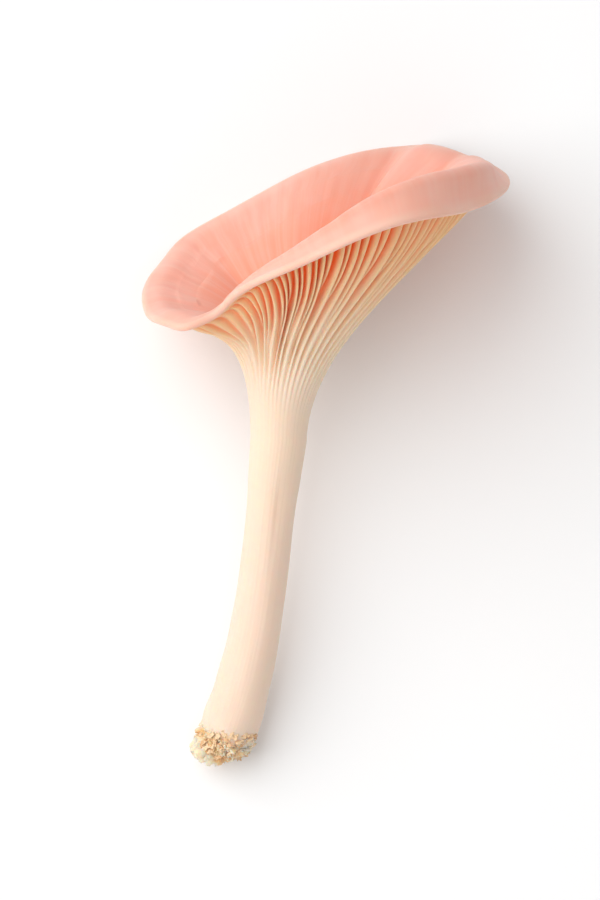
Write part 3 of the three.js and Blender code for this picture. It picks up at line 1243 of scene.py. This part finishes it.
    def lay(self, part: Part, column: Array, place: Array) -> tuple[Array, Array, dict[Attribute, Array]]:
        """Lays places of one part on the mushroom.

        Growth is 0 at the stem's start, 1 at the neck and 2 at the margin, and goes on down the funnel.

        Args:
            part: The part that they are on.
            column: Column of each place.
            place: Place of each along the part.

        Returns:
            The points, how far along the growth each lies, and the attributes that the part gives them.
        """
        angle = column / self.columns * math.tau
        ones = np.ones_like(place)
        if part is Part.FOOT:
            points, torn, height = self.torn(self.form.foot_end(angle, place), angle, place * math.pi / 2)
            facts = {Attribute.TORN: torn, Attribute.GILL: height, Attribute.OUTWARD: -ones}
            return points, -self.foot_growth * place, facts
        if part is Part.STEM:
            whole, ribs = self.stem(column, place)
            points, torn, height = self.torn(whole, angle, np.zeros_like(angle))
            facts = {Attribute.TORN: torn, Attribute.GILL: ribs + (height - ribs) * torn}
            facts |= {Attribute.BRUISE: self.bruise(angle, place), Attribute.OUTWARD: place - 1}
            return points, place, facts
        if part is Part.GILLS:
            points, height = self.gills(column, place)
            return points, 1 + place, {Attribute.GILL: height, Attribute.OUTWARD: place}
        if part is Part.EDGE:
            inward = self.gills(column, ones)[0] - self.form.gill_edge(angle, ones)
            points = self.form.margin_edge(angle, place) + inward * (1 - place)[:, None]
            return points, 2 + self.edge_growth * place, {Attribute.OUTWARD: ones}
        floor_start = self.form.floor_start
        if part is Part.UPPER:
            depth = (1 - place) * self.wall_depth / (1 - floor_start)
            return self.upper(column, place), 3 + self.edge_growth - place, {Attribute.DEEP: depth}
        along = 3 + self.edge_growth - floor_start + self.floor_growth * place
        depth = self.wall_depth + (1 - self.wall_depth) * place
        return self.form.funnel_floor(angle, place), along, {Attribute.DEEP: depth}

    def surface(self, column: Array, row: Array) -> tuple[Array, dict[Attribute, Array]]:
        """Lays the sheet's places on the mushroom.

        Args:
            column: Column of each place.
            row: Row of each place.

        Returns:
            The points, standing, in millimetres, and the attributes of each.
        """
        number, place = self.rows_of(row)
        parts = np.array([band.part for band in self.bands], dtype=object)[number]
        ribbed = [parts == part for part in (Part.STEM, Part.GILLS, Part.EDGE)]
        crowded = np.select(ribbed, [self.ribs.rise(place), 1.0, 1.0 - place], 0.0)
        nearest = np.round(column)
        off = column - nearest
        pulled = np.sign(off) * np.abs(2 * off) ** self.crowding / 2
        column = nearest + off + (pulled - off) * crowded

        points = np.zeros((len(column), 3))
        along = np.zeros(len(column))
        facts = {name: np.zeros(len(column)) for name in Attribute if name is not Attribute.TINT}
        facts[Attribute.GILL] += 1
        for part in Part:
            here = parts == part
            points[here], along[here], known = self.lay(part, column[here], place[here])
            for name, values in known.items():
                facts[name][here] = values
        angle = column / self.columns * math.tau
        facts[Attribute.GROWTH] = np.stack([np.cos(angle), np.sin(angle), along], axis=1)
        return points, facts

    def build(self) -> Object:
        """Builds the skin.

        Returns:
            The finished piece, with smooth faces.
        """
        sheet = self.sheet()
        places = np.array([vertex.co[:2] for vertex in sheet.verts])
        points, facts = self.surface(places[:, 0], places[:, 1])
        lying = self.form.laid_down(points)
        pale_rows = sum(band.rows for band in self.bands if band.part in (Part.FOOT, Part.STEM, Part.GILLS))
        for face in sheet.faces:
            face.smooth = True
            face.material_index = int(face.calc_center_median().y > pale_rows)
        for name, values in facts.items():
            layers = sheet.verts.layers
            kind = layers.float_vector if values.ndim == 2 else layers.float
            layer = kind.new(name.value)
            for vertex, value in zip(sheet.verts, values):
                vertex[layer] = Vector(value) if values.ndim == 2 else float(value)
        for vertex, point in zip(sheet.verts, lying):
            vertex.co = point
        bmesh.ops.remove_doubles(sheet, verts=sheet.verts, dist=MERGED_WITHIN)
        bmesh.ops.recalc_face_normals(sheet, faces=sheet.faces)
        return to_object(sheet, "mushroom_flesh")

    def dress(self, piece: Object, effects: Effects) -> None:
        """Gives the skin its finishes: pale flesh below the margin and pink skin above it.

        Args:
            piece: The skin.
            effects: Shared shader effects.
        """
        piece.data.materials.append(PaleFlesh().make(effects))
        piece.data.materials.append(CapSkin().make(effects))
        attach(piece, ROOT)
        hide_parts(NODE)


def to_object(mesh: Mesh, name: str) -> Object:
    """Turns a finished bmesh into an object of the scene.

    Args:
        mesh: The bmesh, which is freed.
        name: The new object's name.

    Returns:
        The object, at the origin.
    """
    data = bpy.data.meshes.new(name)
    mesh.to_mesh(data)
    mesh.free()
    piece = bpy.data.objects.new(name, data)
    bpy.context.scene.collection.objects.link(piece)
    return piece


@dataclass(frozen=True)
class Bits:
    """One kind of loose bits on the torn foot.

    Size, height, tilt and tint are ranges, in millimetres and degrees, with tint from cream at 0 to tan at 1.
    Shape gives a bit's width, thickness and length as shares of its size.
    """

    count: int
    fineness: int
    size: Pair
    shape: Triple
    height: Pair
    gather: float
    stand_off: float
    tilt: Pair
    roughness: float
    tint: Pair


@dataclass(frozen=True)
class Shred:
    """A curled strip of skin that has come loose at the foot, slanting from upright by an angle."""

    angle: float
    height: float
    length: float
    width: float
    slant: float
    tint: float


@dataclass
class TornFoot:
    """Crumbs, flakes and shreds that stand off the torn foot."""

    form: MushroomForm
    kinds: tuple[Bits, ...] = (
        Bits(260, 2, (0.12, 0.32), (1.0, 0.7, 1.2), (0.4, 4.2), 1.0, 0.3, (-90, 90), 0.7, (0.1, 0.9)),
        Bits(110, 3, (0.5, 1.0), (1.0, 0.14, 1.4), (0.4, 5.2), 1.1, 0.15, (8, 40), 0.6, (0.0, 0.6)),
        Bits(10, 3, (0.25, 0.5), (0.6, 0.1, 1.3), (4.6, 8.0), 1.4, -0.05, (0, 6), 0.25, (0.7, 0.95)),
    )
    shreds: tuple[Shred, ...] = (
        Shred(303, 2.6, 5.2, 1.0, 52, 0.05),
        Shred(212, 3.0, 3.6, 0.9, -35, 0.2),
        Shred(235, 1.6, 3.0, 0.8, -70, 0.0),
    )
    ragged_side: Place = Place(192.0, 50.0)
    ragged_reach: float = 2.2
    seed: int = 71
    twist: float = 0.6
    lumps: tuple[Pair, ...] = ((1.2, 1.0), (3.1, 0.4))
    shred_segments: tuple[int, int] = (6, 24)
    shred_thickness: float = 0.22
    shred_taper: float = 0.6
    shred_jag: float = 0.5
    shred_lift: float = 0.45
    shred_curl: float = 0.6
    shred_arch: float = 1.4

    def skin_at(self, angle: float, height: float) -> Vector:
        """Point of the foot's plain skin.

        Args:
            angle: Angle in radians.
            height: Height in millimetres.

        Returns:
            The point.
        """
        first, second = self.form.stem[0], self.form.stem[1]
        climb = (height - first.z) / (second.z - first.z)
        rounding = math.sqrt(max(0.0, 1 - max(0.0, (first.z - height) / self.form.foot_depth) ** 2))
        radius = first.radius * rounding + (second.radius - first.radius) * min(max(climb, 0), 1)
        x = first.x + (second.x - first.x) * max(climb, 0)
        return Vector((x + radius * math.cos(angle), radius * math.sin(angle), height))

    def bit(self, mesh: Mesh, dice: random.Random, kind: Bits, tint: Layer) -> None:
        """Adds one bit to the foot.

        Args:
            mesh: The bmesh that gathers the bits, standing, in millimetres.
            dice: Seeded random numbers.
            kind: What the bit is like.
            tint: Layer for its tint.
        """
        share = dice.random() ** kind.gather
        height = kind.height[0] + (kind.height[1] - kind.height[0]) * share
        angle = dice.random() * math.tau
        size = dice.uniform(*kind.size)
        ragged = float(self.ragged_side.near(math.degrees(angle))) * (1 - share) ** 2
        out = dice.random() * (kind.stand_off + self.ragged_reach * ragged)
        place = self.skin_at(angle, height) + Vector((math.cos(angle), math.sin(angle), 0)) * out
        turn = Matrix.Rotation(angle - math.pi / 2, 4, "Z")
        lean = Matrix.Rotation(math.radians(dice.uniform(*kind.tilt)), 4, "X")
        twist = Matrix.Rotation(dice.uniform(-self.twist, self.twist), 4, "Y")
        shape = Matrix.Diagonal((*(size * part for part in kind.shape), 1))
        whole = Matrix.Translation(place) @ turn @ lean @ twist @ shape
        made = bmesh.ops.create_icosphere(mesh, subdivisions=kind.fineness, radius=1.0, matrix=whole)
        colour = dice.uniform(*kind.tint)
        for vertex in made["verts"]:
            push = [noise.noise_vector(vertex.co * fineness / size) * part for fineness, part in self.lumps]
            vertex.co += sum(push, Vector()) * kind.roughness * size
            vertex[tint] = colour

    def shred(self, mesh: Mesh, shred: Shred, tint: Layer) -> None:
        """Adds one shred, which lies on the foot's skin and curls off it at its ends.

        Args:
            mesh: The bmesh that gathers the bits, standing, in millimetres.
            shred: What the shred is like.
            tint: Layer for its tint.
        """
        columns, rows = self.shred_segments
        made = bmesh.ops.create_grid(mesh, x_segments=columns, y_segments=rows, size=0.5)
        slant = math.radians(shred.slant)
        for vertex in made["verts"]:
            across, along = vertex.co.x, 2 * vertex.co.y
            jag = 1 + self.shred_jag * noise.noise(Vector((along * 3, shred.angle, across * 2)))
            side = across * shred.width * (1 - self.shred_taper * along * along) * jag
            up = along * shred.length / 2
            round_it = up * math.sin(slant) + side * math.cos(slant)
            turned = math.radians(shred.angle) + round_it / self.form.stem[0].radius
            height = shred.height + up * math.cos(slant) - side * math.sin(slant)
            off = self.shred_lift + self.shred_curl * along * along - self.shred_arch * across * across
            vertex.co = self.skin_at(turned, height) + Vector((math.cos(turned), math.sin(turned), 0)) * off
            vertex[tint] = shred.tint
        faces = list(dict.fromkeys(face for vertex in made["verts"] for face in vertex.link_faces))
        bmesh.ops.solidify(mesh, geom=faces, thickness=self.shred_thickness)

    def build(self) -> Object:
        """Builds all bits as one piece.

        Returns:
            The finished piece.
        """
        dice = random.Random(self.seed)
        noise.seed_set(self.seed)
        mesh = bmesh.new()
        tint = mesh.verts.layers.float.new(Attribute.TINT.value)
        for shred in self.shreds:
            self.shred(mesh, shred, tint)
        for kind in self.kinds:
            for _ in range(kind.count):
                self.bit(mesh, dice, kind, tint)
        lying = self.form.laid_down(np.array([vertex.co[:] for vertex in mesh.verts]))
        for vertex, point in zip(mesh.verts, lying):
            vertex.co = point
        for face in mesh.faces:
            face.smooth = True
        bmesh.ops.recalc_face_normals(mesh, faces=mesh.faces)
        return to_object(mesh, "torn_foot_crumbs")

    def dress(self, piece: Object, effects: Effects) -> None:
        """Gives the bits their finish."""
        piece.data.materials.append(Crumb().make(effects))
        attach(piece, ROOT)


@dataclass(frozen=True)
class SoftLight:
    """A square light, with the way to it given as right, up and toward the viewer in the picture."""

    name: str
    toward: Triple
    distance: float
    size: float
    power: float


@dataclass
class Studio:
    """Pale floor, soft lights and the camera."""

    form: MushroomForm
    floor_size: float = 6.0
    floor_colour: Colour = (0.97, 0.97, 0.97)
    floor_roughness: float = 0.7
    floor_specular: float = 0.1
    sky: float = 0.40
    lens_mm: float = 135.0
    sensor_mm: float = 36.0
    picture_centre: Pair = (15.6, 60.06)
    distance_mm: float = 658.0
    lights: tuple[SoftLight, ...] = (
        SoftLight("key", (-0.85, 0.42, 0.95), 1.3, 1.8, 19.0),
        SoftLight("fill", (0.1, -0.4, 1.0), 1.2, 0.9, 2.4),
    )

    def floor(self) -> None:
        """Lays the floor."""
        mesh = bmesh.new()
        bmesh.ops.create_grid(mesh, x_segments=1, y_segments=1, size=self.floor_size / 2)
        floor = to_object(mesh, "floor")
        material = bpy.data.materials.new("pale floor")
        material.use_nodes = True
        shader = material.node_tree.nodes["Principled BSDF"]
        shader.inputs["Base Color"].default_value = (*self.floor_colour, 1)
        shader.inputs["Roughness"].default_value = self.floor_roughness
        shader.inputs["Specular IOR Level"].default_value = self.floor_specular
        floor.data.materials.append(material)

    def light(self, soft: SoftLight) -> None:
        """Adds a light that shines on the mushroom."""
        data = bpy.data.lights.new(soft.name, "AREA")
        data.size = soft.size
        data.energy = soft.power
        light = bpy.data.objects.new(soft.name, data)
        direction = (self.form.turned() @ Vector(soft.toward)).normalized()
        light.location = direction * soft.distance
        light.rotation_mode = "QUATERNION"
        light.rotation_quaternion = direction.to_track_quat("Z", "Y")
        bpy.context.scene.collection.objects.link(light)

    def camera(self) -> None:
        """Looks at the mushroom as the photograph does, square to the picture."""
        data = bpy.data.cameras.new("camera")
        data.lens = self.lens_mm
        data.sensor_width = self.sensor_mm
        camera = bpy.data.objects.new("camera", data)
        turned = self.form.turned()
        place = turned @ Vector((*self.picture_centre, self.distance_mm)) - Vector(self.form.rest_point)
        camera.matrix_world = Matrix.Translation(place * MM) @ turned.to_4x4()
        bpy.context.scene.collection.objects.link(camera)
        bpy.context.scene.camera = camera

    def build(self) -> None:
        """Sets up everything round the mushroom."""
        self.floor()
        for soft in self.lights:
            self.light(soft)
        self.camera()
        world = bpy.data.worlds.new("studio")
        world.use_nodes = True
        background = world.node_tree.nodes["Background"]
        background.inputs["Color"].default_value = (1, 1, 1, 1)
        background.inputs["Strength"].default_value = self.sky
        bpy.context.scene.world = world
        bpy.context.scene.view_settings.view_transform = "Standard"


def main() -> None:
    """Builds the mushroom and the studio round it."""
    logging.basicConfig(level=logging.INFO, format="%(name)s: %(message)s")
    form = MushroomForm()
    effects = Effects.make()
    for maker in (Skin(form), TornFoot(form)):
        piece = maker.build()
        maker.dress(piece, effects)
        log.info("%s: %d faces", piece.name, len(piece.data.polygons))
    Studio(form).build()


if __name__ == "__main__":
    main()
